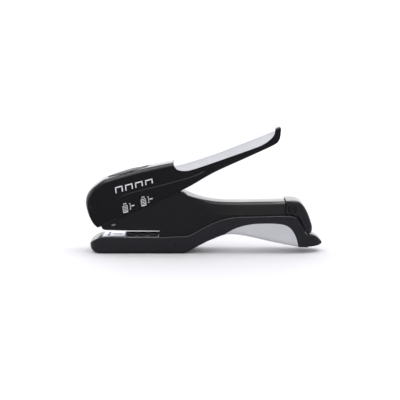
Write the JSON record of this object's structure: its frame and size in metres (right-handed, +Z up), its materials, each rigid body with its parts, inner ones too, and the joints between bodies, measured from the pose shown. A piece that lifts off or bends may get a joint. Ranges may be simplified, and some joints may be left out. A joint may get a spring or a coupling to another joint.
{
  "type": "plier stapler",
  "caption": "Hand-squeezed long-arm stapler with a front-pivoted lever, a rear-loading magazine drawer and a closing anvil base.",
  "frame": {"origin": "centre of the bounding box in plan, at the underside of the base", "axes": "+X from the nose to the tail, +Y across towards the right-hand side, +Z up from the table"},
  "size_m": [0.1999, 0.0264, 0.1066],
  "materials": {
    "black_shell": "semi-gloss moulded",
    "black_gloss": "gloss moulded",
    "black_matte": "matte moulded",
    "light_grey_plastic": "satin moulded",
    "polished_steel": "nickel plated",
    "zinc_steel": "zinc plated",
    "spring_steel": "drawn wire",
    "staple_wire": "glued wire strip"
  },
  "bodies": {
    "base": {"base_shell": "black_shell", "base_grip_insert": "light_grey_plastic", "base_steel_frame": "zinc_steel", "frame_screws": "zinc_steel", "anvil_plate": "polished_steel", "throat_panel": "black_matte", "tail_spur": "black_shell", "jaw_hinge_pin": "polished_steel", "jaw_return_spring": "spring_steel"},
    "head": {"body_left_shell": "black_shell", "body_right_shell": "black_shell", "body_screws": "zinc_steel", "magazine_channel": "zinc_steel", "driver_guide": "zinc_steel", "staple_strip": "staple_wire", "arm_pivot_pin": "polished_steel", "arm_return_spring": "spring_steel"},
    "lever": {"lever_cover": "black_gloss", "lever_core": "zinc_steel", "core_screws": "zinc_steel", "lever_grip_inlay": "light_grey_plastic", "lever_top_pad": "black_matte", "lever_pivot_pin": "polished_steel"},
    "arm": {"driver_arm": "zinc_steel"},
    "driver": {"driver_blade": "polished_steel", "driver_head": "black_matte"},
    "drawer": {"rear_cap": "black_shell", "pusher_rail": "zinc_steel", "rail_screw": "zinc_steel", "pusher_spring": "spring_steel", "left_button_spring": "spring_steel", "right_button_spring": "spring_steel"},
    "pusher": {"staple_pusher": "black_matte"},
    "left_button": {"left_release_button": "black_matte"},
    "right_button": {"right_release_button": "black_matte"}
  },
  "joints": [
    {"name": "jaw_close", "type": "hinge", "parent": "base", "child": "head", "pos_m": [0.07, 0, 0.0295], "axis": [0, -1, 0], "range_deg": [0, 1.95], "stiffness_Nm_per_rad": 2, "springref_deg": -8.59, "deforming": ["jaw_return_spring"]},
    {"name": "lever_squeeze", "type": "hinge", "parent": "head", "child": "lever", "pos_m": [-0.088, 0, 0.04], "axis": [0, 1, 0], "range_deg": [0, 13.5], "stiffness_Nm_per_rad": 0.6, "springref_deg": -17.19},
    {"name": "driver_arm_swing", "type": "hinge", "parent": "head", "child": "arm", "pos_m": [-0.022, 0, 0.044], "axis": [0, -1, 0], "range_deg": [0, 7.5], "deforming": ["arm_return_spring"]},
    {"name": "driver_stroke", "type": "slide", "parent": "head", "child": "driver", "axis": [0.0732, 0, -0.9973], "range_m": [0, 0.0077]},
    {"name": "drawer_slide", "type": "slide", "parent": "head", "child": "drawer", "axis": [0.9973, 0, 0.0732], "range_m": [0, 0.08]},
    {"name": "pusher_slide", "type": "slide", "parent": "drawer", "child": "pusher", "axis": [0.9973, 0, 0.0732], "range_m": [0, 0.045], "stiffness_N_per_m": 12, "springref_m": -0.03, "deforming": ["pusher_spring"]},
    {"name": "left_button_press", "type": "slide", "parent": "drawer", "child": "left_button", "axis": [0, 1, 0], "range_m": [0, 0.0012], "stiffness_N_per_m": 400, "springref_m": -0.001, "deforming": ["left_button_spring"]},
    {"name": "right_button_press", "type": "slide", "parent": "drawer", "child": "right_button", "axis": [0, -1, 0], "range_m": [0, 0.0012], "stiffness_N_per_m": 400, "springref_m": -0.001, "deforming": ["right_button_spring"]}
  ],
  "couplings": [
    {"joint": "driver_arm_swing", "follows": "lever_squeeze", "ratio": 0.5505},
    {"joint": "driver_stroke", "follows": "lever_squeeze", "m_per_rad": 0.0322}
  ]
}
